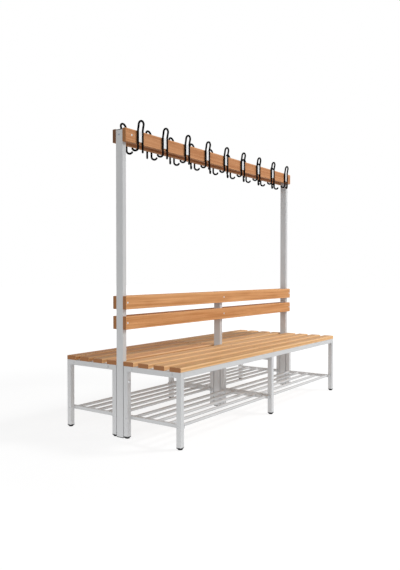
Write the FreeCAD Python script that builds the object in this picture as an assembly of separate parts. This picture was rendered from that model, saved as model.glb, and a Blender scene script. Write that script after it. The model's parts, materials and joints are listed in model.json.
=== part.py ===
import FreeCAD, Part
import os
from math import cos, radians, sin

Vector = FreeCAD.Vector

# Double-sided cloakroom bench with shoe racks, backrests and two boards of coat hooks.
# Millimetres. X runs along the bench, -Y is the front, +Z is up, the origin is on the floor
# under the middle of the bench. The back bench is the front one turned half a turn.

# Driving sizes
LENGTH = 2000.0
DEPTH = 870.0
SEAT_HEIGHT = 435.0
BACKREST_TOP = 804.0
BOARD_TOP = 1747.0

# Steel sections
LEG_TUBE = 30.0
POST_DEPTH = 50.0
POST_WIDTH = LEG_TUBE
RACK_TUBE = 20.0
CENTRE_RAIL_DEPTH = 50.0
TUBE_WALL = 2.0
TUBE_CORNER = 2.0
RACK_BAR_DIAMETER = 18.0
RACK_BAR_WALL = 1.5
RACK_BARS = 5
RACK_HEIGHT = 116.0

# Timber sections
SLAT_WIDTH = 75.0
SLAT_THICKNESS = 25.0
SLAT_ROUNDING = 4.0
SEAT_SLATS = 4
SLAT_JOINT_GAP = 1.5
SLAT_POST_GAP = 2.0
BACKREST_PITCH = 114.0
BOARD_HEIGHT = 76.0

# Feet, caps and plugs
FOOT_HEIGHT = 12.5
FOOT_FLANGE = 5.0
PAD_DIAMETER = 28.0
PAD_ROUNDING = 3.0
STUD_DIAMETER = 8.0
STUD_LENGTH = 24.0
STUD_CLEARANCE = 0.08
PLUG_LENGTH = 18.0
PLUG_CLEARANCE = 0.2
CAP_FLANGE = 4.0
CENTRE_POST_DROP = 2.0
TALL_POST_DROP = 3.5
RACK_PLUG_FLANGE = 2.0
RACK_PLUG_LENGTH = 4.0

# Fasteners: shank and head sizes
BOLT_DIAMETER = 8.0
BOLT_HEAD = 16.0
BOLT_HEAD_HEIGHT = 4.5
NUT_ACROSS_FLATS = 13.0
NUT_HEIGHT = 6.5
BOLT_END = 2.0
TIMBER_SCREW_DIAMETER = 6.0
TIMBER_SCREW_HEAD = 12.0
TIMBER_SCREW_HEAD_HEIGHT = 3.2
TIMBER_SCREW_BITE = 8.0
SLAT_SCREW_DIAMETER = 5.0
SLAT_SCREW_HEAD = 9.5
SLAT_SCREW_HEAD_HEIGHT = 3.0
SLAT_SCREW_BITE = 17.0
HOOK_SCREW_DIAMETER = 4.5
HOOK_SCREW_HEAD = 9.0
HOOK_SCREW_LENGTH = 27.0
RAIL_PLUG_HEAD = 15.0
PLUG_HEAD_HEIGHT = 2.5
PLUG_SHANK = 7.0
RACK_BOLT_DIAMETER = 6.0
RACK_BOLT_HEAD = 10.0
RACK_BOLT_HEAD_HEIGHT = 3.0
SOCKET_SHARE = 0.38
SOCKET_DEPTH_SHARE = 0.8
SHANK_CLEARANCE = 0.1
SCREW_EDGE_DISTANCE = 14.0

# Where the fasteners sit
POST_GAP = 4.0
SPACER_DIAMETER = 20.0
POST_BOLT_DROP = 57.0
RAIL_PLUG_DROP = 14.0
OUTER_PLUG_INSET = 27.0
INNER_PLUG_INSET = 31.0
RACK_RAIL_SETBACK = 11.0
RACK_BOLT_SHIFT = 6.0

# Brackets that carry the ends of the coat boards
BRACKET_LENGTH = 55.0
BRACKET_HEIGHT = 40.0
BRACKET_WALL = 3.0
BRACKET_BOSS_DIAMETER = 16.0
BRACKET_BOSS_LENGTH = 6.0
BOARD_SCREW_INSET = 22.0
BOARD_SCREW_DROP = 34.5

# Coat hooks: one bent wire each, held to the board by a grooved clamp
HOOKS = 9
HOOK_END_INSET = 102.4
FRONT_HOOK_SHIFT = 14.5
BACK_HOOK_SHIFT = 0.0
WIRE_DIAMETER = 12.0
WIRE_SPACING = 40.5
WIRE_CLEARANCE = 0.2
CLAMP_HALF_WIDTH = 15.5
CLAMP_THICKNESS = 6.5
CLAMP_TOP_DROP = 1.0
CLAMP_BOTTOM_RISE = 12.0
CLAMP_SCREW_SPACING = 36.0
LOOP_LEAN = 10.5
LOOP_LEAN_RADIUS = 25.0
LOOP_STRAIGHT = 20.5
LOOP_FLARE = 8.0
LOOP_FLARE_RADIUS = 60.0
HOOK_START_DROP = 22.0
HOOK_BEND_RADIUS = 17.0
HOOK_SWEEP = 153.0
HOOK_SPLAY = 41.3

# Derived levels and positions
HALF_LENGTH = LENGTH / 2
HALF_DEPTH = DEPTH / 2
HALF_TUBE = LEG_TUBE / 2
HALF_POST = POST_DEPTH / 2
SEAT_UNDER = SEAT_HEIGHT - SLAT_THICKNESS
RAIL_UNDER = SEAT_UNDER - LEG_TUBE
POST_BOLT_HEIGHT = RAIL_UNDER - POST_BOLT_DROP
OUTER_LEG_Y = HALF_TUBE - HALF_DEPTH
INNER_LEG_Y = -HALF_POST - POST_GAP - HALF_TUBE
RAIL_START_Y = OUTER_LEG_Y + HALF_TUBE
RAIL_END_Y = INNER_LEG_Y - HALF_TUBE
RAIL_PLUG_HEIGHT = SEAT_UNDER - RAIL_PLUG_DROP
RAIL_PLUG_YS = (RAIL_START_Y + OUTER_PLUG_INSET, RAIL_END_Y - INNER_PLUG_INSET)
END_X = HALF_LENGTH - HALF_TUBE
PLACES = {"left": -END_X, "centre": 0.0, "right": END_X}
LEGS = {"outer": OUTER_LEG_Y, "inner": INNER_LEG_Y}
SLAT_FIRST_Y = -HALF_DEPTH + SLAT_WIDTH / 2
SLAT_LAST_Y = -HALF_POST - SLAT_POST_GAP - SLAT_WIDTH / 2
SLAT_PITCH = (SLAT_LAST_Y - SLAT_FIRST_Y) / (SEAT_SLATS - 1)
SLAT_YS = [SLAT_FIRST_Y + row * SLAT_PITCH for row in range(SEAT_SLATS)]
RACK_BAR_FIRST_Y = RAIL_START_Y + RACK_BAR_DIAMETER / 2
RACK_BAR_LAST_Y = RAIL_END_Y - RACK_BAR_DIAMETER / 2
RACK_PITCH = (RACK_BAR_LAST_Y - RACK_BAR_FIRST_Y) / (RACK_BARS - 1)
RACK_RAIL_OFFSET = HALF_TUBE + RACK_TUBE / 2
RACK_RAIL_XS = {
    "left": (-END_X + RACK_RAIL_OFFSET, -RACK_RAIL_OFFSET),
    "right": (RACK_RAIL_OFFSET, END_X - RACK_RAIL_OFFSET),
}
RACK_RAIL_INSET = RACK_RAIL_SETBACK + RACK_PLUG_FLANGE
RACK_RAIL_ENDS = (RACK_RAIL_INSET - HALF_DEPTH, INNER_LEG_Y + HALF_TUBE - RACK_RAIL_INSET)
RACK_BOLT_YS = (OUTER_LEG_Y + RACK_BOLT_SHIFT, INNER_LEG_Y - RACK_BOLT_SHIFT)
COUPLING_X = 2 * HALF_TUBE
SLAT_SUPPORTS = {-END_X: LEG_TUBE, 0.0: CENTRE_RAIL_DEPTH, COUPLING_X: CENTRE_RAIL_DEPTH, END_X: LEG_TUBE}
BACKREST_CENTRES = {
    "upper": BACKREST_TOP - SLAT_WIDTH / 2,
    "lower": BACKREST_TOP - SLAT_WIDTH / 2 - BACKREST_PITCH,
}
TALL_POST_TOP = BOARD_TOP - TALL_POST_DROP - CAP_FLANGE
CENTRE_POST_TOP = BACKREST_TOP - CENTRE_POST_DROP - CAP_FLANGE
POST_TOPS = {"left": TALL_POST_TOP, "centre": CENTRE_POST_TOP, "right": TALL_POST_TOP}
BOARD_FACE_Y = -HALF_POST - SLAT_THICKNESS
BOARD_UNDER = BOARD_TOP - BOARD_HEIGHT
BOARD_SCREW_X = END_X - HALF_TUBE - BOARD_SCREW_INSET
BOARD_SCREW_HEIGHT = BOARD_TOP - BOARD_SCREW_DROP
HOOK_PITCH = (LENGTH - 2 * HOOK_END_INSET) / (HOOKS - 1)
WIRE_RADIUS = WIRE_DIAMETER / 2
WIRE_Y = BOARD_FACE_Y - WIRE_RADIUS
CLAMP_TOP = BOARD_TOP - CLAMP_TOP_DROP
CLAMP_HEIGHT = BOARD_HEIGHT - CLAMP_TOP_DROP - CLAMP_BOTTOM_RISE
CLAMP_SCREW_HEIGHTS = [CLAMP_TOP - CLAMP_HEIGHT / 2 + side * CLAMP_SCREW_SPACING / 2 for side in (-1, 1)]
RAIL_SLAT_SCREW_YS = [
    min(max(y, RAIL_START_Y + SCREW_EDGE_DISTANCE), RAIL_END_Y - SCREW_EDGE_DISTANCE) for y in SLAT_YS
]

ALONG_X = Vector(1, 0, 0)
ALONG_Y = Vector(0, 1, 0)
UP = Vector(0, 0, 1)
PARALLEL_TOLERANCE = 0.001


def box(x_range, y_range, z_range):
    """A block between the given limits."""
    low = Vector(x_range[0], y_range[0], z_range[0])
    return Part.makeBox(x_range[1] - low.x, y_range[1] - low.y, z_range[1] - low.z, low)


def around(centre, width):
    """The limits of a width laid evenly about a centre."""
    return (centre - width / 2, centre + width / 2)


def rod(start, direction, diameter, length):
    """A round bar from a point along a direction."""
    return Part.makeCylinder(diameter / 2, length, start, direction)


def long_edges(shape, direction):
    """The straight edges of a shape that run along a direction."""
    found = []
    for edge in shape.Edges:
        run = edge.Vertexes[-1].Point - edge.Vertexes[0].Point
        if run.Length > 0 and run.cross(direction).Length < PARALLEL_TOLERANCE * run.Length:
            found.append(edge)
    return found


def rounded(shape, direction, radius):
    """A block with the edges along one direction rounded."""
    return shape.makeFillet(radius, long_edges(shape, direction))


def tube(x_range, y_range, z_range, direction):
    """A rectangular tube with rounded outer corners, open at both ends of its direction."""
    ranges = [x_range, y_range, z_range]
    hollow = []
    for limits, along in zip(ranges, direction):
        inset = 0.0 if along else TUBE_WALL
        hollow.append((limits[0] + inset, limits[1] - inset))
    return rounded(box(*ranges), direction, TUBE_CORNER).cut(box(*hollow))


def turned(shape):
    """A copy turned half a turn about the upright axis, front to back."""
    copy = shape.copy()
    copy.rotate(Vector(0, 0, 0), UP, 180)
    return copy


def on_side(side, shape):
    """The front shape itself, or its turned copy for the back."""
    return shape if side == "front" else turned(shape)


def own_x(side, x):
    """The X where a front shape is made so that it lands at x on the given side."""
    return x if side == "front" else -x


def placed(shape, base, direction):
    """A shape made along +Z moved to a base point and pointed along a direction."""
    copy = shape.copy()
    copy.Placement = FreeCAD.Placement(base, FreeCAD.Rotation(UP, direction))
    return copy


def revolved(outline):
    """A solid turned about +Z from (r, z) steps; four numbers give an arc's middle and end."""
    edges = []
    here = outline[0]
    for step in outline[1:]:
        start = Vector(here[0], 0, here[1])
        if len(step) == 4:
            middle = Vector(step[0], 0, step[1])
            edges.append(Part.Arc(start, middle, Vector(step[2], 0, step[3])).toShape())
            here = step[2:]
        else:
            edges.append(Part.makeLine(start, Vector(step[0], 0, step[1])))
            here = step
    face = Part.Face(Part.Wire(edges))
    return face.revolve(Vector(0, 0, 0), UP, 360)


def hexagon(across_flats, height, base=0.0):
    """An upright hexagonal prism."""
    radius = across_flats / 2 / cos(radians(30))
    corners = [Vector(radius * cos(radians(60 * i)), radius * sin(radians(60 * i)), base) for i in range(7)]
    return Part.Face(Part.makePolygon(corners)).extrude(Vector(0, 0, height))


def dome(radius, height):
    """The radius and height of the point halfway out along a domed head."""
    sphere = (radius * radius + height * height) / (2 * height)
    half = radius / 2
    middle_height = (sphere * sphere - half * half) ** 0.5 - (sphere - height)
    return half, middle_height


def domed_fastener(shank, length, head, head_height, socket=True):
    """A domed head above z = 0 with its shank below, with or without a hexagon socket."""
    half, middle_height = dome(head / 2, head_height)
    outline = [
        (0, -length),
        (shank / 2, -length),
        (shank / 2, 0),
        (head / 2, 0),
        (half, middle_height, 0, head_height),
        (0, -length),
    ]
    fastener = revolved(outline)
    if not socket:
        return fastener
    depth = head_height * SOCKET_DEPTH_SHARE
    return fastener.cut(hexagon(head * SOCKET_SHARE, depth, head_height - depth))


def hole_size(shank):
    """The diameter of the hole for a shank."""
    return shank + 2 * SHANK_CLEARANCE


def leg_frame(x, at_end):
    """Two legs with a seat rail welded between them, deeper on the centre frame, drilled for the bolts."""
    width = around(x, LEG_TUBE)
    pieces = [tube(width, around(y, LEG_TUBE), (FOOT_HEIGHT, SEAT_UNDER), UP) for y in LEGS.values()]
    weld = (RAIL_START_Y - TUBE_CORNER, RAIL_END_Y + TUBE_CORNER)
    depth = LEG_TUBE if at_end else CENTRE_RAIL_DEPTH
    pieces.append(tube(width, weld, (SEAT_UNDER - depth, SEAT_UNDER), ALONG_Y))
    frame = pieces[0].multiFuse(pieces[1:]).removeSplitter()
    start = Vector(x, RAIL_END_Y - TUBE_CORNER, POST_BOLT_HEIGHT)
    holes = [rod(start, ALONG_Y, hole_size(BOLT_DIAMETER), LEG_TUBE + 2 * TUBE_CORNER)]
    for y in RAIL_PLUG_YS:
        start = Vector(x - LEG_TUBE, y, RAIL_PLUG_HEIGHT)
        holes.append(rod(start, ALONG_X, hole_size(BOLT_DIAMETER), 2 * LEG_TUBE))
    for y in RAIL_SLAT_SCREW_YS:
        start = Vector(x, y, SEAT_UNDER - depth - TUBE_WALL)
        holes.append(rod(start, UP, hole_size(SLAT_SCREW_DIAMETER), depth + 2 * TUBE_WALL))
    return frame.cut(holes + rack_bolt_holes(x))


def seat_rails(module):
    """The outer and inner long rails of one half of a bench."""
    span = (-END_X + HALF_TUBE, -HALF_TUBE) if module == "left" else (HALF_TUBE, END_X - HALF_TUBE)
    return [tube(span, around(y, LEG_TUBE), (RAIL_UNDER, SEAT_UNDER), ALONG_X) for y in LEGS.values()]


def coupling_rail():
    """The cross rail that carries the right half of a bench, bolted to the centre leg frame."""
    rail = tube(
        around(COUPLING_X, LEG_TUBE),
        (RAIL_START_Y, RAIL_END_Y),
        (SEAT_UNDER - CENTRE_RAIL_DEPTH, SEAT_UNDER),
        ALONG_Y,
    )
    holes = []
    for y in RAIL_PLUG_YS:
        holes.append(rod(Vector(0, y, RAIL_PLUG_HEIGHT), ALONG_X, hole_size(BOLT_DIAMETER), 2 * LEG_TUBE))
    for y in RAIL_SLAT_SCREW_YS:
        start = Vector(COUPLING_X, y, SEAT_UNDER - CENTRE_RAIL_DEPTH - TUBE_WALL)
        holes.append(rod(start, UP, hole_size(SLAT_SCREW_DIAMETER), CENTRE_RAIL_DEPTH + 2 * TUBE_WALL))
    return rail.cut(holes)


def shoe_rack(module):
    """One shoe rack: two rails that lie against the legs of two frames and the round bars between them."""
    first, last = RACK_RAIL_XS[module]
    holes = []
    for x in PLACES.values():
        holes += rack_bolt_holes(x)
    height = around(RACK_HEIGHT, RACK_TUBE)
    pieces = [tube(around(x, RACK_TUBE), RACK_RAIL_ENDS, height, ALONG_Y).cut(holes) for x in (first, last)]
    length = last - first - RACK_TUBE
    for number in range(RACK_BARS):
        start = Vector(first + RACK_TUBE / 2, RACK_BAR_FIRST_Y + number * RACK_PITCH, RACK_HEIGHT)
        bar = rod(start, ALONG_X, RACK_BAR_DIAMETER, length)
        pieces.append(bar.cut(rod(start, ALONG_X, RACK_BAR_DIAMETER - 2 * RACK_BAR_WALL, length)))
    return pieces


def rack_bolt_run(x):
    """The start along X, the head's direction and the length of the rack bolts through the frame at x."""
    length = LEG_TUBE + RACK_TUBE / 2
    if x == 0:
        return -HALF_TUBE - RACK_TUBE, -ALONG_X, length + RACK_TUBE
    outward = ALONG_X if x > 0 else -ALONG_X
    return x + outward.x * HALF_TUBE, outward, length


def rack_bolt_holes(x):
    """The holes of the rack bolts through the frame at x."""
    start, outward, length = rack_bolt_run(x)
    size = hole_size(RACK_BOLT_DIAMETER)
    return [rod(Vector(start, y, RACK_HEIGHT), -outward, size, length) for y in RACK_BOLT_YS]


def rack_bolts():
    """The bolts that hold the front shoe racks: end ones from outside, centre ones through both racks."""
    bolts = []
    for x in PLACES.values():
        start, outward, length = rack_bolt_run(x)
        bolt = domed_fastener(RACK_BOLT_DIAMETER, length, RACK_BOLT_HEAD, RACK_BOLT_HEAD_HEIGHT)
        bolts += [placed(bolt, Vector(start, y, RACK_HEIGHT), outward) for y in RACK_BOLT_YS]
    return bolts


def slat(x_range, y_range, z_range):
    """A planed board with its long edges rounded."""
    return rounded(box(x_range, y_range, z_range), ALONG_X, SLAT_ROUNDING)


def seat_slat(row):
    """One row of the seat: two lengths that meet beside the centre leg, with blind screw holes."""
    ranges = [
        (-HALF_LENGTH, HALF_TUBE - SLAT_JOINT_GAP / 2),
        (HALF_TUBE + SLAT_JOINT_GAP / 2, HALF_LENGTH),
    ]
    screw = hole_size(SLAT_SCREW_DIAMETER)
    holes = [rod(base, UP, screw, SLAT_SCREW_BITE) for base in slat_screw_tops(row)]
    depth = around(SLAT_YS[row], SLAT_WIDTH)
    return [slat(span, depth, (SEAT_UNDER, SEAT_HEIGHT)).cut(holes) for span in ranges]


def slat_screw_tops(row):
    """Where the screws of one seat row enter the timber."""
    return [Vector(x, RAIL_SLAT_SCREW_YS[row], SEAT_UNDER) for x in SLAT_SUPPORTS]


def slat_screws():
    """Screws from under the rails up into the front seat slats."""
    screws = []
    for row in range(SEAT_SLATS):
        for base in slat_screw_tops(row):
            rail = SLAT_SUPPORTS[base.x]
            length = rail + SLAT_SCREW_BITE
            screw = domed_fastener(SLAT_SCREW_DIAMETER, length, SLAT_SCREW_HEAD, SLAT_SCREW_HEAD_HEIGHT)
            screws.append(placed(screw, base - UP * rail, -UP))
    return screws


def post(place):
    """An upright tube drilled for its leg bolt, backrest screws and bracket bolt."""
    x = PLACES[place]
    body = tube(around(x, POST_WIDTH), around(0, POST_DEPTH), (CAP_FLANGE, POST_TOPS[place]), UP)
    through = 2 * POST_DEPTH
    holes = [rod(Vector(x, -POST_DEPTH, POST_BOLT_HEIGHT), ALONG_Y, hole_size(BOLT_DIAMETER), through)]
    for height in BACKREST_CENTRES.values():
        start = Vector(x, -POST_DEPTH, height)
        holes.append(rod(start, ALONG_Y, hole_size(TIMBER_SCREW_DIAMETER), through))
    if place != "centre":
        start = Vector(x - POST_DEPTH, 0, BOARD_SCREW_HEIGHT)
        holes.append(rod(start, ALONG_X, hole_size(TIMBER_SCREW_DIAMETER), through))
    return body.cut(holes)


def post_cap(x, height, inward):
    """A flat cap on one end of a post with a plug inside the tube."""
    flange = rounded(box(around(x, POST_WIDTH), around(0, POST_DEPTH), (0, CAP_FLANGE)), UP, TUBE_CORNER)
    inset = 2 * (TUBE_WALL + PLUG_CLEARANCE)
    plug = box(around(x, POST_WIDTH - inset), around(0, POST_DEPTH - inset), (CAP_FLANGE, PLUG_LENGTH))
    cap = flange.fuse(plug)
    if inward.z < 0:
        cap = cap.mirror(Vector(0, 0, 0), UP)
    cap.translate(Vector(0, 0, height))
    return cap


def post_caps():
    """Bottom and top caps of all the posts."""
    caps = []
    for place, x in PLACES.items():
        caps.append(post_cap(x, 0.0, UP))
        caps.append(post_cap(x, POST_TOPS[place] + CAP_FLANGE, -UP))
    return caps


def backrest_slat(level):
    """One front backrest slat, drilled at each post."""
    depth = (BOARD_FACE_Y, -HALF_POST)
    board = slat((-HALF_LENGTH, HALF_LENGTH), depth, around(BACKREST_CENTRES[level], SLAT_WIDTH))
    holes = []
    for x in PLACES.values():
        start = Vector(x, BOARD_FACE_Y, BACKREST_CENTRES[level])
        holes.append(rod(start, ALONG_Y, hole_size(TIMBER_SCREW_DIAMETER), SLAT_THICKNESS))
    return board.cut(holes)


def hook_positions(side):
    """Where the hooks of one side stand along its own front board."""
    shift = FRONT_HOOK_SHIFT if side == "front" else BACK_HOOK_SHIFT
    first = shift - HOOK_PITCH * (HOOKS - 1) / 2
    return [first + number * HOOK_PITCH for number in range(HOOKS)]


def coat_board(side):
    """The board that carries one side's hooks, drilled for hook screws and bracket screws."""
    depth = (BOARD_FACE_Y, -HALF_POST)
    board = slat((-HALF_LENGTH, HALF_LENGTH), depth, (BOARD_UNDER, BOARD_TOP))
    holes = []
    for x in (-BOARD_SCREW_X, BOARD_SCREW_X):
        start = Vector(x, BOARD_FACE_Y, BOARD_SCREW_HEIGHT)
        holes.append(rod(start, ALONG_Y, hole_size(TIMBER_SCREW_DIAMETER), SLAT_THICKNESS))
    bite = HOOK_SCREW_LENGTH - CLAMP_THICKNESS
    for x in hook_positions(side):
        for height in CLAMP_SCREW_HEIGHTS:
            start = Vector(x, BOARD_FACE_Y, height)
            holes.append(rod(start, ALONG_Y, hole_size(HOOK_SCREW_DIAMETER), bite))
    return board.cut(holes)


def board_bracket():
    """The channel between the boards at the left post, with a threaded boss for the post's bolt."""
    face = -END_X + HALF_TUBE
    height = around(BOARD_SCREW_HEIGHT, BRACKET_HEIGHT)
    channel = box((face, face + BRACKET_LENGTH), around(0, POST_DEPTH), height)
    inside = (face + BRACKET_WALL, face + 2 * BRACKET_LENGTH)
    channel = channel.cut(box(inside, around(0, POST_DEPTH - 2 * BRACKET_WALL), height))
    boss_start = Vector(face, 0, BOARD_SCREW_HEIGHT)
    boss = rod(boss_start, ALONG_X, BRACKET_BOSS_DIAMETER, BRACKET_WALL + BRACKET_BOSS_LENGTH)
    holes = [rod(boss_start, ALONG_X, hole_size(TIMBER_SCREW_DIAMETER), BRACKET_LENGTH)]
    start = Vector(-BOARD_SCREW_X, -POST_DEPTH, BOARD_SCREW_HEIGHT)
    holes.append(rod(start, ALONG_Y, hole_size(TIMBER_SCREW_DIAMETER), 2 * POST_DEPTH))
    return channel.fuse(boss).cut(holes)


def bracket_bolt():
    """The bolt through the left post into its bracket."""
    length = LEG_TUBE + BRACKET_WALL + BRACKET_BOSS_LENGTH
    bolt = domed_fastener(TIMBER_SCREW_DIAMETER, length, TIMBER_SCREW_HEAD, TIMBER_SCREW_HEAD_HEIGHT)
    return placed(bolt, Vector(-HALF_LENGTH, 0, BOARD_SCREW_HEIGHT), -ALONG_X)


def timber_screws():
    """Domed screws through the front backrest slats and the ends of the front coat board."""
    length = SLAT_THICKNESS + TIMBER_SCREW_BITE
    screw = domed_fastener(TIMBER_SCREW_DIAMETER, length, TIMBER_SCREW_HEAD, TIMBER_SCREW_HEAD_HEIGHT)
    spots = [(x, height) for x in PLACES.values() for height in BACKREST_CENTRES.values()]
    spots += [(x, BOARD_SCREW_HEIGHT) for x in (-BOARD_SCREW_X, BOARD_SCREW_X)]
    return [placed(screw, Vector(x, BOARD_FACE_Y, height), -ALONG_Y) for x, height in spots]


class WirePath:
    """A round wire followed from a point, one straight or bend after another."""

    def __init__(self, start, direction):
        self.point = start
        self.direction = direction
        self.pieces = []

    def straight(self, length):
        """Carry on straight for a length."""
        self.pieces.append(rod(self.point, self.direction, WIRE_DIAMETER, length))
        self.point = self.point + self.direction * length

    def bend(self, radius, angle, towards):
        """Turn through an angle about a centre that lies towards a direction."""
        centre = self.point + towards * radius
        axis = self.direction.cross(towards)
        circle = Part.makeCircle(WIRE_RADIUS, self.point, self.direction)
        self.pieces.append(Part.Face(Part.Wire(circle)).revolve(centre, axis, angle))
        turn = FreeCAD.Rotation(axis, angle)
        self.point = centre + turn.multVec(self.point - centre)
        self.direction = turn.multVec(self.direction)

    def round_end(self):
        """Finish with a half ball."""
        self.pieces.append(Part.makeSphere(WIRE_RADIUS, self.point, self.direction, 0, 90, 360))


def hook_wire():
    """One hook at X = 0: a leaning loop above the board and two splayed hooks below it."""
    start = Vector(-WIRE_SPACING / 2, WIRE_Y, BOARD_UNDER - HOOK_START_DROP)
    upward = WirePath(start, UP)
    upward.straight(CLAMP_TOP - start.z)
    upward.bend(LOOP_LEAN_RADIUS, LOOP_LEAN, -ALONG_Y)
    loop_normal = ALONG_X.cross(upward.direction)
    upward.straight(LOOP_STRAIGHT)
    upward.bend(LOOP_FLARE_RADIUS, LOOP_FLARE, loop_normal.cross(upward.direction))
    top_radius = -upward.point.x / cos(radians(LOOP_FLARE))
    upward.bend(top_radius, 90 + LOOP_FLARE, -loop_normal.cross(upward.direction))
    downward = WirePath(start, -UP)
    splay = radians(HOOK_SPLAY)
    downward.bend(HOOK_BEND_RADIUS, HOOK_SWEEP, Vector(-cos(splay), sin(splay), 0))
    downward.round_end()
    half = upward.pieces + downward.pieces
    other = [piece.mirror(Vector(0, 0, 0), ALONG_X) for piece in half]
    return half[0].multiFuse(half[1:] + other).removeSplitter()


def hook_clamp():
    """The clamp of the hook at X = 0: a block grooved along both sides for the wire."""
    height = (CLAMP_TOP - CLAMP_HEIGHT, CLAMP_TOP)
    block = box((-CLAMP_HALF_WIDTH, CLAMP_HALF_WIDTH), (BOARD_FACE_Y - CLAMP_THICKNESS, BOARD_FACE_Y), height)
    cuts = []
    groove = WIRE_DIAMETER + 2 * WIRE_CLEARANCE
    for x in (-WIRE_SPACING / 2, WIRE_SPACING / 2):
        cuts.append(rod(Vector(x, WIRE_Y, height[0]), UP, groove, CLAMP_HEIGHT))
    for screw_height in CLAMP_SCREW_HEIGHTS:
        cuts.append(placed(hook_screw(SHANK_CLEARANCE), hook_screw_base(screw_height), -ALONG_Y))
    return block.cut(cuts)


def hook_screw_base(height):
    """Where a hook screw's flat head lies, in the clamp's front face."""
    return Vector(0, BOARD_FACE_Y - CLAMP_THICKNESS, height)


def hook_screw(grow=0.0):
    """A countersunk screw with its head flush at z = 0, or its hole when grown all round."""
    shank = HOOK_SCREW_DIAMETER / 2 + grow
    head = HOOK_SCREW_HEAD / 2 + grow
    return revolved([
        (0, -HOOK_SCREW_LENGTH),
        (shank, -HOOK_SCREW_LENGTH),
        (shank, shank - head),
        (head, 0),
        (0, 0),
        (0, -HOOK_SCREW_LENGTH),
    ])


def row_of_hooks(side, shape):
    """Copies of a shape made at X = 0, one for each hook of a side."""
    copies = []
    for x in hook_positions(side):
        copy = shape.copy()
        copy.translate(Vector(x, 0, 0))
        copies.append(on_side(side, copy))
    return copies


def hook_screws(side):
    """The two screws of every clamp on a side."""
    screws = []
    for height in CLAMP_SCREW_HEIGHTS:
        screws += row_of_hooks(side, placed(hook_screw(), hook_screw_base(height), -ALONG_Y))
    return screws


def foot_insert(x, y):
    """The plug in a leg's lower end, with a flange under the tube and a bore for the stud."""
    flange = box(around(x, LEG_TUBE), around(y, LEG_TUBE), (FOOT_HEIGHT - FOOT_FLANGE, FOOT_HEIGHT))
    inside = LEG_TUBE - 2 * (TUBE_WALL + PLUG_CLEARANCE)
    plug = box(around(x, inside), around(y, inside), (FOOT_HEIGHT, FOOT_HEIGHT + PLUG_LENGTH))
    bore = rod(Vector(x, y, 0), UP, STUD_DIAMETER + 2 * STUD_CLEARANCE, 2 * FOOT_HEIGHT + PLUG_LENGTH)
    return rounded(flange, UP, TUBE_CORNER).fuse(plug).cut(bore)


def levelling_foot(x, y):
    """The round pad on the floor with its stud."""
    top = FOOT_HEIGHT - FOOT_FLANGE
    edge = PAD_DIAMETER / 2
    lean = PAD_ROUNDING * (1 - cos(radians(45)))
    foot = revolved([
        (0, 0),
        (edge - PAD_ROUNDING, 0),
        (edge - lean, lean, edge, PAD_ROUNDING),
        (edge, top),
        (STUD_DIAMETER / 2, top),
        (STUD_DIAMETER / 2, top + STUD_LENGTH),
        (0, top + STUD_LENGTH),
        (0, 0),
    ])
    foot.translate(Vector(x, y, 0))
    return foot


def frame_bolts():
    """Bolts through each pair of inner legs and their post, and through the coupling rails."""
    grip = 2 * (HALF_POST + POST_GAP + LEG_TUBE)
    leg_bolt = domed_fastener(BOLT_DIAMETER, grip + NUT_HEIGHT + BOLT_END, BOLT_HEAD, BOLT_HEAD_HEIGHT)
    bolts = [placed(leg_bolt, Vector(x, RAIL_END_Y, POST_BOLT_HEIGHT), -ALONG_Y) for x in PLACES.values()]
    length = 2 * LEG_TUBE + NUT_HEIGHT + BOLT_END
    rail_bolt = domed_fastener(BOLT_DIAMETER, length, BOLT_HEAD, BOLT_HEAD_HEIGHT)
    for side in ("front", "back"):
        for y in RAIL_PLUG_YS:
            bolt = placed(rail_bolt, Vector(-HALF_TUBE, y, RAIL_PLUG_HEIGHT), -ALONG_X)
            bolts.append(on_side(side, bolt))
    return bolts


def frame_nuts():
    """The nuts of the frame bolts."""
    bore = rod(Vector(0, 0, 0), UP, hole_size(BOLT_DIAMETER), NUT_HEIGHT)
    nut = hexagon(NUT_ACROSS_FLATS, NUT_HEIGHT).cut(bore)
    nuts = [placed(nut, Vector(x, -RAIL_END_Y, POST_BOLT_HEIGHT), ALONG_Y) for x in PLACES.values()]
    for side in ("front", "back"):
        for y in RAIL_PLUG_YS:
            base = Vector(HALF_TUBE + LEG_TUBE, y, RAIL_PLUG_HEIGHT)
            nuts.append(on_side(side, placed(nut, base, ALONG_X)))
    return nuts


def post_spacers():
    """The rings between the posts and the inner legs around the leg bolts."""
    spacers = []
    for x in PLACES.values():
        for y in (-HALF_POST - POST_GAP, HALF_POST):
            start = Vector(x, y, POST_BOLT_HEIGHT)
            ring = rod(start, ALONG_Y, SPACER_DIAMETER, POST_GAP)
            spacers.append(ring.cut(rod(start, ALONG_Y, hole_size(BOLT_DIAMETER), POST_GAP)))
    return spacers


def rack_plug(x, end_y, inward):
    """The plug in one end of a rack rail."""
    flange = box(
        around(x, RACK_TUBE),
        sorted((end_y, end_y - inward * RACK_PLUG_FLANGE)),
        around(RACK_HEIGHT, RACK_TUBE),
    )
    inside = RACK_TUBE - 2 * (TUBE_WALL + PLUG_CLEARANCE)
    depth = sorted((end_y, end_y + inward * RACK_PLUG_LENGTH))
    plug = box(around(x, inside), depth, around(RACK_HEIGHT, inside))
    return rounded(flange, ALONG_Y, TUBE_CORNER).fuse(plug)


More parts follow.
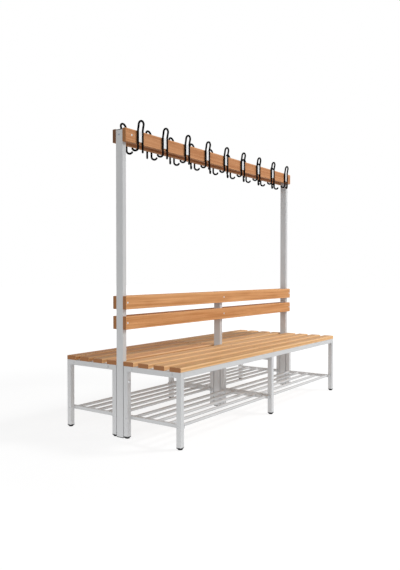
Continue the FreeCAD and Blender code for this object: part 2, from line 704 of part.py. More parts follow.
def tube_plugs():
    """Plugs in the front bench's spare coupling holes and in the ends of its rack rails."""
    rail_plug = domed_fastener(BOLT_DIAMETER, PLUG_SHANK, RAIL_PLUG_HEAD, PLUG_HEAD_HEIGHT, socket=False)
    plugs = []
    for outward in (-1, 1):
        for y in RAIL_PLUG_YS:
            base = Vector(outward * HALF_LENGTH, y, RAIL_PLUG_HEIGHT)
            plugs.append(placed(rail_plug, base, ALONG_X * outward))
    for rail_xs in RACK_RAIL_XS.values():
        for x in rail_xs:
            plugs.append(rack_plug(x, RACK_RAIL_ENDS[0], 1))
            plugs.append(rack_plug(x, RACK_RAIL_ENDS[1], -1))
    return plugs


def both_sides(shapes):
    """The front shapes and their turned copies."""
    return shapes + [turned(shape) for shape in shapes]


def bench_nodes():
    """Every named piece of the bench with its solids."""
    nodes = {}
    opposite = {"left": "right", "right": "left"}
    for side in ("front", "back"):
        for place, x in PLACES.items():
            frame = leg_frame(own_x(side, x), place != "centre")
            nodes[f"leg_frame_{side}_{place}"] = [on_side(side, frame)]
            for leg, y in LEGS.items():
                foot = levelling_foot(own_x(side, x), y)
                nodes[f"levelling_foot_{side}_{place}_{leg}"] = [on_side(side, foot)]
        for module in opposite:
            own = module if side == "front" else opposite[module]
            nodes[f"seat_rails_{side}_{module}"] = [on_side(side, rail) for rail in seat_rails(own)]
            nodes[f"shoe_rack_{side}_{module}"] = [on_side(side, piece) for piece in shoe_rack(own)]
        nodes[f"coupling_rail_{side}"] = [on_side(side, coupling_rail())]
        for row in range(SEAT_SLATS):
            nodes[f"seat_slat_{side}_{row + 1}"] = [on_side(side, piece) for piece in seat_slat(row)]
        for level in BACKREST_CENTRES:
            nodes[f"backrest_slat_{side}_{level}"] = [on_side(side, backrest_slat(level))]
        nodes[f"coat_board_{side}"] = [on_side(side, coat_board(side))]
        nodes[f"coat_hooks_{side}"] = row_of_hooks(side, hook_wire())
    for place in PLACES:
        nodes[f"post_{place}"] = [post(place)]
    nodes["post_caps"] = post_caps()
    nodes["post_spacers"] = post_spacers()
    nodes["board_brackets"] = both_sides([board_bracket()])
    nodes["bracket_bolts"] = both_sides([bracket_bolt()])
    nodes["timber_screws"] = both_sides(timber_screws())
    nodes["slat_screws"] = both_sides(slat_screws())
    nodes["hook_clamps"] = row_of_hooks("front", hook_clamp()) + row_of_hooks("back", hook_clamp())
    nodes["hook_screws"] = hook_screws("front") + hook_screws("back")
    inserts = [foot_insert(x, y) for x in PLACES.values() for y in LEGS.values()]
    nodes["foot_inserts"] = both_sides(inserts)
    nodes["frame_bolts"] = frame_bolts()
    nodes["frame_nuts"] = frame_nuts()
    nodes["rack_bolts"] = both_sides(rack_bolts())
    nodes["tube_plugs"] = both_sides(tube_plugs())
    return nodes


os.makedirs("parts", exist_ok=True)
for name, solids in bench_nodes().items():
    shape = solids[0] if len(solids) == 1 else Part.makeCompound(solids)
    shape.exportStep(f"parts/{name}.step")
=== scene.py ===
import json
import logging
import math
import random
from collections.abc import Iterator, Sequence
from dataclasses import dataclass, field, replace
from enum import Enum

import bmesh
import bpy
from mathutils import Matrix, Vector


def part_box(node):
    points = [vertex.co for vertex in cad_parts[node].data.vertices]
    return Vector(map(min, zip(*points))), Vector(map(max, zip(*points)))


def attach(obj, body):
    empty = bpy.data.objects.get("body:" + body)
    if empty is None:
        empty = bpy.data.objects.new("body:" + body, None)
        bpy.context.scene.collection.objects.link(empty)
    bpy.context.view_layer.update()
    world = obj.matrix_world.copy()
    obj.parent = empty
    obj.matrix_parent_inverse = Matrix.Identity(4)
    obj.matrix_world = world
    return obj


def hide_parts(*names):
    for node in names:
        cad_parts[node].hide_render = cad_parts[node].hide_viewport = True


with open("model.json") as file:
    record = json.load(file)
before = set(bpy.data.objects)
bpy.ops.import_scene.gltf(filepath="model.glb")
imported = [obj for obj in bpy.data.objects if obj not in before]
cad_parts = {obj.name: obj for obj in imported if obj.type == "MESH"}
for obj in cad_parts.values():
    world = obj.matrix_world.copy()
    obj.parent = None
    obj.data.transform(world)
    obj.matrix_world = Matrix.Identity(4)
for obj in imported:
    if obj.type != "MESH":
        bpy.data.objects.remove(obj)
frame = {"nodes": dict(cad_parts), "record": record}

# A double-sided cloakroom bench: beech seats, backrests and hook boards on a powder-coated tube frame.
# Metres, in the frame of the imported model. X runs along the bench, -Y is the front, Z is up.

log = logging.getLogger("cloakroom_bench")

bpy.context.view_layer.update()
BENCH_BODY = "bench"

Triple = tuple[float, float, float]
Colour = Triple
Span = tuple[float, float]
# A noise texture's scale and detail.
Noise = tuple[float, float]
Node = bpy.types.Node
Socket = bpy.types.NodeSocket
Material = bpy.types.Material
Mesh = bpy.types.Mesh
Object = bpy.types.Object
Value = float | Socket | Sequence[float]

# Most values of a noise texture lie in this span, on both sides of 0.5.
NOISE_SPAN = (0.3, 0.7)
NOISE_CENTRING = (-0.5, -0.5, -0.5)
NOISE_DETAIL = 2.0
UNIT_SPAN = (0.0, 1.0)
ALONG = Vector((1.0, 0.0, 0.0))
UP = Vector((0.0, 0.0, 1.0))


class Side(Enum):
    """The two seats of the bench, as the nodes spell them."""

    FRONT = "front"
    BACK = "back"


class Slot(Enum):
    """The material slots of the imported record."""

    STEEL = "grey_steel"
    BEECH = "beech"
    FOOT_PLASTIC = "black_plastic"
    HOOK_COATING = "black_coating"
    CLAMP_ALLOY = "clamp_alloy"
    ZINC = "zinc_steel"
    PLUG_PLASTIC = "grey_plastic"


class Effect(Enum):
    """The shared surface effects, each one shader node group."""

    WOOD_GRAIN = "wood_grain"
    ORANGE_PEEL = "orange_peel"
    MOULDED_GRAIN = "moulded_grain"
    DRAWN_STREAKS = "drawn_streaks"
    FLOOR_SCUFFS = "floor_scuffs"


class Kind(Enum):
    """The kinds of socket that an effect has."""

    VALUE = "NodeSocketFloat"
    COLOUR = "NodeSocketColor"
    VECTOR = "NodeSocketVector"


def opaque(colour: Colour) -> tuple[float, float, float, float]:
    """A colour with full alpha."""
    return (*colour, 1.0)


@dataclass(frozen=True)
class NoiseLayer:
    """One layer of noise with its own waves along each axis.

    Attributes:
        waves: Waves in a metre along X, Y and Z.
        detail: How many finer waves ride on them.
        span: The noise values that read as 0 and as 1.
    """

    waves: Triple
    detail: float = NOISE_DETAIL
    span: Span = NOISE_SPAN


@dataclass
class NodeSheet:
    """Short calls to add and join the nodes of one tree.

    Attributes:
        tree: The node tree that the calls work on.
    """

    tree: bpy.types.NodeTree

    def add(self, kind: str, **settings: object) -> Node:
        """Add a node and set its properties.

        Args:
            kind: The node's type name.
            **settings: Properties of the node.

        Returns:
            The new node.
        """
        node = self.tree.nodes.new(kind)
        for name, value in settings.items():
            setattr(node, name, value)
        return node

    def feed(self, target: Socket, value: Value) -> None:
        """Link a socket into an input, or set the input's own value.

        Args:
            target: The input socket.
            value: A socket to link, or a plain value.
        """
        if isinstance(value, Socket):
            self.tree.links.new(value, target)
        else:
            target.default_value = value

    def fill(self, node: Node, **values: Value) -> Node:
        """Feed a node's inputs by name.

        Args:
            node: The node.
            **values: A value for each input, with underscores for the spaces in its name.

        Returns:
            The same node.
        """
        for name, value in values.items():
            self.feed(node.inputs[name.replace("_", " ")], value)
        return node

    def join(self, node: Node, *values: Value) -> Socket:
        """Feed a node's inputs in order.

        Args:
            node: The node.
            *values: A value for each of its first inputs.

        Returns:
            The node's first output.
        """
        for target, value in zip(node.inputs, values):
            self.feed(target, value)
        return node.outputs[0]

    def math(self, operation: str, first: Value, second: Value, clamp: bool = False) -> Socket:
        """One step of arithmetic on two values, held between 0 and 1 if it is clamped."""
        return self.join(self.add("ShaderNodeMath", operation=operation, use_clamp=clamp), first, second)

    def stretch(self, vector: Socket, factors: Sequence[float]) -> Socket:
        """A vector with each part multiplied by its own factor."""
        return self.join(self.add("ShaderNodeVectorMath", operation="MULTIPLY"), vector, factors)

    def shift(self, vector: Socket, offset: Value) -> Socket:
        """A vector moved by an offset."""
        return self.join(self.add("ShaderNodeVectorMath", operation="ADD"), vector, offset)

    def place(self, output: str = "Object") -> Socket:
        """The place that is shaded, in one of the texture coordinates."""
        return self.add("ShaderNodeTexCoord").outputs[output]

    def height(self, vector: Socket) -> Socket:
        """The Z of a vector."""
        return self.fill(self.add("ShaderNodeSeparateXYZ"), Vector=vector).outputs["Z"]

    def reading(self, name: str, output: str = "Fac") -> Socket:
        """A value that the mesh carries under a name."""
        return self.add("ShaderNodeAttribute", attribute_name=name).outputs[output]

    def noise(
        self, vector: Socket, scale: Value = 1.0, detail: float = NOISE_DETAIL, output: str = "Fac"
    ) -> Socket:
        """A noise texture read at a vector."""
        node = self.add("ShaderNodeTexNoise")
        return self.fill(node, Vector=vector, Scale=scale, Detail=detail).outputs[output]

    def remap(self, value: Socket, span: Span, result: Span = UNIT_SPAN) -> Socket:
        """A value stretched from one span to another, held inside the new one."""
        ends = dict(zip(("From_Min", "From_Max", "To_Min", "To_Max"), span + result))
        return self.fill(self.add("ShaderNodeMapRange"), Value=value, **ends).outputs["Result"]

    def effect(self, effect: Effect, **values: Value) -> Node:
        """Place a shared effect with its own values, named as fill names them."""
        node = self.add("ShaderNodeGroup", node_tree=bpy.data.node_groups[effect.value])
        return self.fill(node, **values)

    def layer(self, vector: Socket, layer: NoiseLayer) -> Socket:
        """A layer of noise read at a vector, from 0 to 1."""
        raw = self.noise(self.stretch(vector, layer.waves), detail=layer.detail)
        return self.remap(raw, layer.span)

    def blend(self, factor: Value, first: Value, second: Value, mode: str = "MIX") -> Socket:
        """Two colours blended by a factor.

        Args:
            factor: How much of the second colour.
            first: The first colour.
            second: The second colour.
            mode: The Mix node's blend type.

        Returns:
            The colour's socket.
        """
        node = self.add("ShaderNodeMix", data_type="RGBA", blend_type=mode)
        sockets = {socket.identifier: socket for socket in (*node.inputs, *node.outputs)}
        for name, value in (("Factor_Float", factor), ("A_Color", first), ("B_Color", second)):
            self.feed(sockets[name], value)
        return sockets["Result_Color"]

    def toned(self, colour: Socket, tone: Socket) -> Socket:
        """A colour darkened or lightened by a value."""
        grey = self.join(self.add("ShaderNodeCombineColor"), tone, tone, tone)
        return self.blend(1.0, colour, grey, "MULTIPLY")


@dataclass
class EffectGroup(NodeSheet):
    """The nodes of a shared effect, with sockets that are added as they are used.

    Attributes:
        entry: The node that hands the inputs in.
        exit: The node that takes the outputs.
    """

    entry: Node = field(init=False)
    exit: Node = field(init=False)

    def __post_init__(self) -> None:
        """Place the nodes of the inputs and the outputs."""
        self.entry = self.add("NodeGroupInput")
        self.exit = self.add("NodeGroupOutput")

    def take(self, name: str, kind: Kind = Kind.VALUE) -> Socket:
        """Add an input and read it from inside."""
        self.tree.interface.new_socket(name=name, in_out="INPUT", socket_type=kind.value)
        return self.entry.outputs[name]

    def give(self, name: str, value: Socket, kind: Kind = Kind.VALUE) -> None:
        """Add an output and send a value to it."""
        self.tree.interface.new_socket(name=name, in_out="OUTPUT", socket_type=kind.value)
        self.feed(self.exit.inputs[name], value)


def new_group(effect: Effect) -> EffectGroup:
    """The empty node group of an effect."""
    return EffectGroup(bpy.data.node_groups.new(effect.value, "ShaderNodeTree"))


@dataclass(frozen=True)
class WoodGrain:
    """The effect that turns a board's own coordinates into beech.

    Attributes:
        drift: Waves in a metre of the grain's slow wander.
        wander: How far the grain wanders along each axis, in metres.
        ring_scale: The wave texture's scale for the year rings.
        ring_waver: How much the rings waver.
        ring_detail: How many finer waves ride on the waver.
        streak: The narrow streaks along the board.
        figure: The soft clouds.
        vein: The broad veins.
        fleck: The short dark pores.
        fibre: Waves in a metre of the finest fibres.
        shares: How much rings, streaks, figure and fibres darken the wood.
        fleck_share: How much the pores darken it.
        least_highlight: The least share of a rounded edge that gets the painted highlight.
        end_rings: How much the rings darken the end grain.
        roughness: The roughness between the fibres and on them.
        end_roughness: What end grain adds to the roughness.
        fleck_depth: The pores' share of the height.
        ring_height: The rings' share of the height.
    """

    drift: Triple = (0.9, 7.0, 7.0)
    wander: Triple = (0.0, 0.016, 0.016)
    ring_scale: float = 95.0
    ring_waver: float = 0.6
    ring_detail: float = 1.0
    streak: NoiseLayer = NoiseLayer((1.3, 75.0, 75.0), 3.0, (0.37, 0.63))
    figure: NoiseLayer = NoiseLayer((6.0, 17.0, 17.0))
    vein: NoiseLayer = NoiseLayer((1.5, 34.0, 34.0), 3.0, (0.5, 0.66))
    fleck: NoiseLayer = NoiseLayer((105.0, 1150.0, 420.0), 1.0, (0.62, 0.72))
    fibre: Triple = (14.0, 1400.0, 1400.0)
    shares: tuple[float, float, float, float] = (0.2, 0.52, 0.22, 0.12)
    fleck_share: float = 0.35
    least_highlight: float = 0.55
    end_rings: float = 0.35
    roughness: Span = (0.42, 0.54)
    end_roughness: float = 0.2
    fleck_depth: float = 0.5
    ring_height: float = 0.25

    def warp(self, sheet: NodeSheet, grain: Socket) -> Socket:
        """A place in the tree, moved by the slow wander of the grain."""
        drift = sheet.noise(sheet.stretch(grain, self.drift), output="Color")
        return sheet.shift(grain, sheet.stretch(sheet.shift(drift, NOISE_CENTRING), self.wander))

    def rings(self, sheet: NodeSheet, place: Socket) -> Socket:
        """Draw the year rings round the tree's heart.

        Args:
            sheet: The group's nodes.
            place: The place in the tree.

        Returns:
            The rings, from 0 to 1.
        """
        wave = sheet.add("ShaderNodeTexWave", wave_type="RINGS", rings_direction="X", wave_profile="SAW")
        settings = {"Scale": self.ring_scale, "Distortion": self.ring_waver, "Detail": self.ring_detail}
        return sheet.fill(wave, Vector=place, **settings).outputs["Fac"]

    def build(self) -> None:
        """Build the node group."""
        group = new_group(Effect.WOOD_GRAIN)
        grain = group.take("Grain", Kind.VECTOR)
        dark = group.take("Dark", Kind.COLOUR)
        end_grain = group.take("End Grain")
        warped = self.warp(group, grain)
        rings = self.rings(group, warped)
        streak = group.layer(warped, self.streak)
        figure = group.layer(warped, self.figure)
        fibre = group.noise(group.stretch(grain, self.fibre))
        fleck = group.layer(grain, self.fleck)
        vein = group.math("MULTIPLY", group.layer(warped, self.vein), group.take("Vein"))
        shade = group.take("Tint")
        for layer, share in zip((rings, streak, figure, fibre), self.shares):
            shade = group.math("ADD", shade, group.math("MULTIPLY", layer, share), clamp=True)
        shade = group.math("ADD", shade, vein, clamp=True)
        colour = group.blend(shade, group.take("Light", Kind.COLOUR), dark)
        colour = group.blend(group.math("MULTIPLY", fleck, self.fleck_share), colour, dark, "MULTIPLY")
        # Painted highlight: a pale colour is blended in along the rounded edges that the mesh marks, patchy
        # with the figure.
        highlight_share = group.remap(figure, UNIT_SPAN, (self.least_highlight, 1.0))
        edge_highlight = group.math("MULTIPLY", group.take("Worn Edge"), highlight_share)
        colour = group.blend(edge_highlight, colour, group.take("Rubbed", Kind.COLOUR))
        end_rings = group.remap(rings, UNIT_SPAN, (0.0, self.end_rings))
        end_shade = group.blend(end_rings, group.take("End", Kind.COLOUR), dark, "MULTIPLY")
        group.give("Color", group.blend(end_grain, colour, end_shade), Kind.COLOUR)
        rough = group.remap(fibre, NOISE_SPAN, self.roughness)
        end_rough = group.math("MULTIPLY", end_grain, self.end_roughness)
        group.give("Roughness", group.math("ADD", rough, end_rough))
        height = group.math("SUBTRACT", fibre, group.math("MULTIPLY", fleck, self.fleck_depth))
        group.give("Height", group.math("ADD", height, group.math("MULTIPLY", rings, self.ring_height)))


@dataclass(frozen=True)
class OrangePeel:
    """The effect of a powder coat: soft ripple, faint clouds and fine speckle.

    Attributes:
        ripple: The ripple's noise.
        speckle: The speckle's noise.
        cloud: The clouds' noise.
        cloud_tone: How the clouds darken and lighten the paint.
        speckle_tone: How the speckle does.
        matt_span: The sums of cloud and ripple at the ends of the roughness.
        roughness: The least and the most roughness.
    """

    ripple: Noise = (430.0, 1.5)
    speckle: Noise = (2400.0, 0.0)
    cloud: Noise = (3.2, 3.0)
    cloud_tone: Span = (0.965, 1.02)
    speckle_tone: Span = (0.975, 1.02)
    matt_span: Span = (0.7, 1.3)
    roughness: Span = (0.4, 0.54)

    def build(self) -> None:
        """Build the node group."""
        group = new_group(Effect.ORANGE_PEEL)
        position = group.take("Position", Kind.VECTOR)
        ripple = group.noise(position, *self.ripple)
        speckle = group.noise(position, *self.speckle)
        cloud = group.noise(position, *self.cloud)
        cloud_tone = group.remap(cloud, NOISE_SPAN, self.cloud_tone)
        speckle_tone = group.remap(speckle, NOISE_SPAN, self.speckle_tone)
        tone = group.math("MULTIPLY", cloud_tone, speckle_tone)
        group.give("Color", group.toned(group.take("Paint", Kind.COLOUR), tone), Kind.COLOUR)
        both = group.math("ADD", cloud, ripple)
        group.give("Roughness", group.remap(both, self.matt_span, self.roughness))
        group.give("Height", ripple)


@dataclass(frozen=True)
class MouldedGrain:
    """The effect of moulded or dipped plastic: fine grain with a slow drift of sheen.

    Attributes:
        drift: The drift's noise scale.
        lift: How the drift darkens and lightens the pigment.
        pit_roughness: What the grain adds to the roughness.
        drift_roughness: What the drift adds to it.
    """

    drift: float = 26.0
    lift: Span = (0.75, 1.25)
    pit_roughness: Span = (-0.06, 0.08)
    drift_roughness: Span = (-0.04, 0.04)

    def build(self) -> None:
        """Build the node group."""
        group = new_group(Effect.MOULDED_GRAIN)
        position = group.take("Position", Kind.VECTOR)
        pits = group.noise(position, group.take("Grain Scale"))
        drift = group.noise(position, self.drift)
        lift = group.remap(drift, NOISE_SPAN, self.lift)
        group.give("Color", group.toned(group.take("Pigment", Kind.COLOUR), lift), Kind.COLOUR)
        rough = group.math("ADD", group.take("Matt"), group.remap(pits, NOISE_SPAN, self.pit_roughness))
        drift_rough = group.remap(drift, NOISE_SPAN, self.drift_roughness)
        group.give("Roughness", group.math("ADD", rough, drift_rough))
        group.give("Height", pits)


@dataclass(frozen=True)
class DrawnStreaks:
    """The effect of drawn or plated metal: fine upright streaks over a faint bloom.

    Attributes:
        streak: Waves in a metre of the streaks.
        bloom: The bloom's noise.
        streak_tone: How the streaks darken and lighten the metal.
        bloom_tone: How the bloom does.
        streak_roughness: What the streaks add to the roughness.
    """

    streak: Triple = (1500.0, 1500.0, 24.0)
    bloom: Noise = (160.0, 3.0)
    streak_tone: Span = (0.9, 1.03)
    bloom_tone: Span = (0.92, 1.02)
    streak_roughness: Span = (-0.08, 0.1)

    def build(self) -> None:
        """Build the node group."""
        group = new_group(Effect.DRAWN_STREAKS)
        position = group.take("Position", Kind.VECTOR)
        streak = group.noise(group.stretch(position, self.streak))
        bloom = group.noise(position, *self.bloom)
        streak_tone = group.remap(streak, NOISE_SPAN, self.streak_tone)
        bloom_tone = group.remap(bloom, NOISE_SPAN, self.bloom_tone)
        tone = group.math("MULTIPLY", streak_tone, bloom_tone)
        group.give("Color", group.toned(group.take("Metal", Kind.COLOUR), tone), Kind.COLOUR)
        rough = group.remap(streak, NOISE_SPAN, self.streak_roughness)
        group.give("Roughness", group.math("ADD", group.take("Matt"), rough))
        group.give("Height", streak)


@dataclass(frozen=True)
class FloorScuffs:
    """The effect that marks small rubs just above the floor.

    Attributes:
        rubs: The rubs' noise.
    """

    rubs: NoiseLayer = NoiseLayer((130.0, 130.0, 45.0), 4.0, (0.55, 0.7))

    def build(self) -> None:
        """Build the node group."""
        group = new_group(Effect.FLOOR_SCUFFS)
        position = group.take("Position", Kind.VECTOR)
        share = group.math("DIVIDE", group.height(position), group.take("Reach"))
        near = group.math("SUBTRACT", 1.0, share, clamp=True)
        group.give("Mask", group.math("MULTIPLY", group.layer(position, self.rubs), near))


EFFECTS = (WoodGrain(), OrangePeel(), MouldedGrain(), DrawnStreaks(), FloorScuffs())


@dataclass(frozen=True)
class FloorRubs:
    """How a finish shows the rubs just above the floor.

    Attributes:
        colour: Their colour.
        reach: How high they reach, in metres.
        strength: How much they cover.
    """

    colour: Colour
    reach: float
    strength: float

    def over(self, sheet: NodeSheet, clean: Socket) -> Socket:
        """Lay the rubs over a clean surface.

        Args:
            sheet: The material's nodes.
            clean: The surface's colour.

        Returns:
            The colour with the rubs.
        """
        scuffs = sheet.effect(Effect.FLOOR_SCUFFS, Position=sheet.place(), Reach=self.reach)
        mask = sheet.math("MULTIPLY", scuffs.outputs["Mask"], self.strength)
        return sheet.blend(mask, clean, opaque(self.colour))


@dataclass(frozen=True, kw_only=True)
class Finish:
    """What every finish has in common.

    Attributes:
        name: The material's name.
        depth: The depth of its grain, in metres.
        shine: The strength of its reflections.
        metallic: One for metal, else zero.
        rubs: The rubs near the floor, if it shows any.
    """

    name: str
    depth: float
    shine: float = 0.5
    metallic: float = 0.0
    rubs: FloorRubs | None = None

    def surface(self, sheet: NodeSheet) -> Node:
        """The node of the effect that gives the colour, the roughness and the height."""
        raise NotImplementedError

    def material(self) -> Material:
        """Build the material.

        Returns:
            The new material.
        """
        material = bpy.data.materials.new(self.name)
        material.use_nodes = True
        sheet = NodeSheet(material.node_tree)
        surface = self.surface(sheet).outputs
        colour = surface["Color"]
        if self.rubs is not None:
            colour = self.rubs.over(sheet, colour)
        bump = sheet.add("ShaderNodeBump")
        sheet.fill(bump, Strength=1.0, Distance=self.depth, Height=surface["Height"])
        shader = material.node_tree.nodes["Principled BSDF"]
        sheet.fill(shader, Base_Color=colour, Roughness=surface["Roughness"], Normal=bump.outputs["Normal"])
        sheet.fill(shader, Specular_IOR_Level=self.shine, Metallic=self.metallic)
        return material


@dataclass(frozen=True, kw_only=True)
class BeechFinish(Finish):
    """Planed beech under a clear satin varnish.

    Attributes:
        light: The palest wood.
        dark: The darkest streaks.
        end: The stain that end grain takes; the back hook board's is darker still, as painted shade.
        edge_highlight: The pale colour painted along the rounded edges as a highlight.
        vein: How strongly broad veins darken it.
    """

    light: Colour
    dark: Colour
    end: Colour
    edge_highlight: Colour
    vein: float
    depth: float = 0.00012
    shine: float = 0.03

    def surface(self, sheet: NodeSheet) -> Node:
        """Read the grain that each board's mesh carries.

        Args:
            sheet: The material's nodes.

        Returns:
            The effect's node.
        """
        return sheet.effect(
            Effect.WOOD_GRAIN,
            Grain=sheet.reading("grain", "Vector"),
            End_Grain=sheet.reading("end_grain"),
            Worn_Edge=sheet.reading("highlit_edge"),
            Tint=sheet.reading("tint"),
            Light=opaque(self.light),
            Dark=opaque(self.dark),
            End=opaque(self.end),
            Rubbed=opaque(self.edge_highlight),
            Vein=self.vein,
        )


@dataclass(frozen=True, kw_only=True)
class PowderCoatFinish(Finish):
    """Powder coat on steel.

    Attributes:
        paint: The coat's colour.
    """

    paint: Colour
    depth: float = 0.00006

    def surface(self, sheet: NodeSheet) -> Node:
        """The node of the effect, with this paint."""
        return sheet.effect(Effect.ORANGE_PEEL, Position=sheet.place(), Paint=opaque(self.paint))


@dataclass(frozen=True, kw_only=True)
class PlasticFinish(Finish):
    """Moulded or dipped plastic.

    Attributes:
        pigment: The plastic's colour.
        grain_scale: The noise scale of the surface grain.
        matt: The middle roughness.
    """

    pigment: Colour
    grain_scale: float
    matt: float
    shine: float = 0.2

    def surface(self, sheet: NodeSheet) -> Node:
        """The node of the effect, with this plastic."""
        values = {"Pigment": opaque(self.pigment), "Grain_Scale": self.grain_scale, "Matt": self.matt}
        return sheet.effect(Effect.MOULDED_GRAIN, Position=sheet.place(), **values)


@dataclass(frozen=True, kw_only=True)
class MetalFinish(Finish):
    """Bare drawn or plated metal.

    Attributes:
        metal: The metal's colour.
        matt: The middle roughness.
    """

    metal: Colour
    matt: float
    depth: float = 0.00003
    metallic: float = 1.0

    def surface(self, sheet: NodeSheet) -> Node:
        """The node of the effect, with this metal."""
        values = {"Metal": opaque(self.metal), "Matt": self.matt}
        return sheet.effect(Effect.DRAWN_STREAKS, Position=sheet.place(), **values)


# In each beech below, the pale colour along the rounded edges is a painted highlight.
SEAT_BEECH = BeechFinish(
    name="seat_beech",
    light=(0.86, 0.53, 0.27),
    dark=(0.58, 0.31, 0.13),
    end=(0.40, 0.195, 0.092),
    edge_highlight=(0.91, 0.585, 0.315),
    vein=0.15,
)
# A darker, redder copy of the seat beech: painted shade for the back-left seat boards that lie behind the
# backrests.
SHADED_SEAT_BEECH = replace(
    SEAT_BEECH,
    name="red_seat_beech",
    light=(0.84, 0.465, 0.225),
    dark=(0.58, 0.265, 0.10),
)
BACKREST_BEECH = BeechFinish(
    name="backrest_beech",
    light=(0.80, 0.43, 0.20),
    dark=(0.52, 0.23, 0.086),
    end=(0.40, 0.195, 0.088),
    edge_highlight=(0.74, 0.39, 0.18),
    vein=0.32,
)
HOOK_BOARD_BEECH = replace(
    BACKREST_BEECH,
    name="hook_board_beech",
    light=(0.80, 0.43, 0.22),
    dark=(0.51, 0.225, 0.10),
    edge_highlight=(0.72, 0.37, 0.18),
    vein=0.2,
)
# The back hook board's ends are much darker: painted shade where they sit behind the posts.
BACK_BOARD_SHADED_END_BEECH = replace(HOOK_BOARD_BEECH, name="back_board_beech", end=(0.21, 0.11, 0.062))
CAD_FINISHES = {
    Slot.STEEL: PowderCoatFinish(
        name="light_grey_powder_coat",
        paint=(0.61, 0.615, 0.62),
        rubs=FloorRubs((0.36, 0.35, 0.34), reach=0.14, strength=0.35),
    ),
    Slot.FOOT_PLASTIC: PlasticFinish(
        name="black_foot_plastic",
        pigment=(0.012, 0.012, 0.013),
        grain_scale=2600.0,
        matt=0.5,
        depth=0.00006,
        rubs=FloorRubs((0.07, 0.068, 0.065), reach=0.016, strength=0.6),
    ),
    Slot.HOOK_COATING: PlasticFinish(
        name="black_hook_coating",
        pigment=(0.003, 0.003, 0.0035),
        grain_scale=420.0,
        matt=0.6,
        depth=0.00004,
        shine=0.05,
    ),
    Slot.CLAMP_ALLOY: MetalFinish(name="bright_clamp_alloy", metal=(0.96, 0.965, 0.975), matt=0.42),
    Slot.ZINC: MetalFinish(name="zinc_plating", metal=(0.84, 0.86, 0.88), matt=0.34),
    Slot.PLUG_PLASTIC: PlasticFinish(
        name="grey_plug_plastic",
        pigment=(0.50, 0.51, 0.52),
        grain_scale=1800.0,
        matt=0.42,
        depth=0.00004,
    ),
}
# Darker copies of the zinc: the dimmer metal of these bolts is painted shade that stands in for darker
# reflections.
NODE_FINISHES = {
    "bracket_bolts": MetalFinish(name="zinc_painted_dark_reflection", metal=(0.38, 0.42, 0.48), matt=0.5),
    "rack_bolts": MetalFinish(name="zinc_painted_dim_reflection", metal=(0.60, 0.61, 0.62), matt=0.45),
}


def bridge(work: bmesh.types.BMesh, loops: Sequence[list[bmesh.types.BMVert]], closed: bool) -> None:
    """Join rings of points with faces, and close the ends of an open run.

    Args:
        work: The mesh in the making.
        loops: The rings in order, with as many points in each.
        closed: Whether the last ring joins the first.
    """
    pairs = list(zip(loops, loops[1:]))
    if closed:
        pairs.append((loops[-1], loops[0]))
    for near, far in pairs:
        for index in range(len(near)):
            following = (index + 1) % len(near)
            work.faces.new((near[index], far[index], far[following], near[following]))
    if not closed:
        work.faces.new(loops[0])
        work.faces.new(list(reversed(loops[-1])))


def smooth_mesh(name: str, work: bmesh.types.BMesh, material: Material) -> Mesh:
    """Turn a mesh in the making into a smooth one whose faces look outward.

    Args:
        name: The mesh's name.
        work: The mesh in the making, which is freed.
        material: The mesh's finish.

    Returns:
        The mesh.
    """
    bmesh.ops.recalc_face_normals(work, faces=work.faces)
    mesh = bpy.data.meshes.new(name)
    work.to_mesh(mesh)
    work.free()
    mesh.shade_smooth()
    mesh.materials.append(material)
    return mesh


def add_object(name: str, data: bpy.types.ID) -> Object:
    """Put a mesh, a lamp or a camera in the scene.

    Args:
        name: The object's name.
        data: What the object shows.

    Returns:
        The new object.
    """
    thing = bpy.data.objects.new(name, data)
    bpy.context.scene.collection.objects.link(thing)
    return thing


def add_piece(name: str, mesh: Mesh, node: str | None = None) -> Object:
    """Put a mesh in the scene as a piece of the bench.

    Args:
        name: The piece's name.
        mesh: Its mesh, in the frame's coordinates.
        node: The CAD node that it stands for, if it does.

    Returns:
        The new piece.
    """
    piece = add_object(name, mesh)
    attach(piece, BENCH_BODY)
    if node is not None:
        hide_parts(node)
    log.info("%s: %d faces", name, len(mesh.polygons))
    return piece


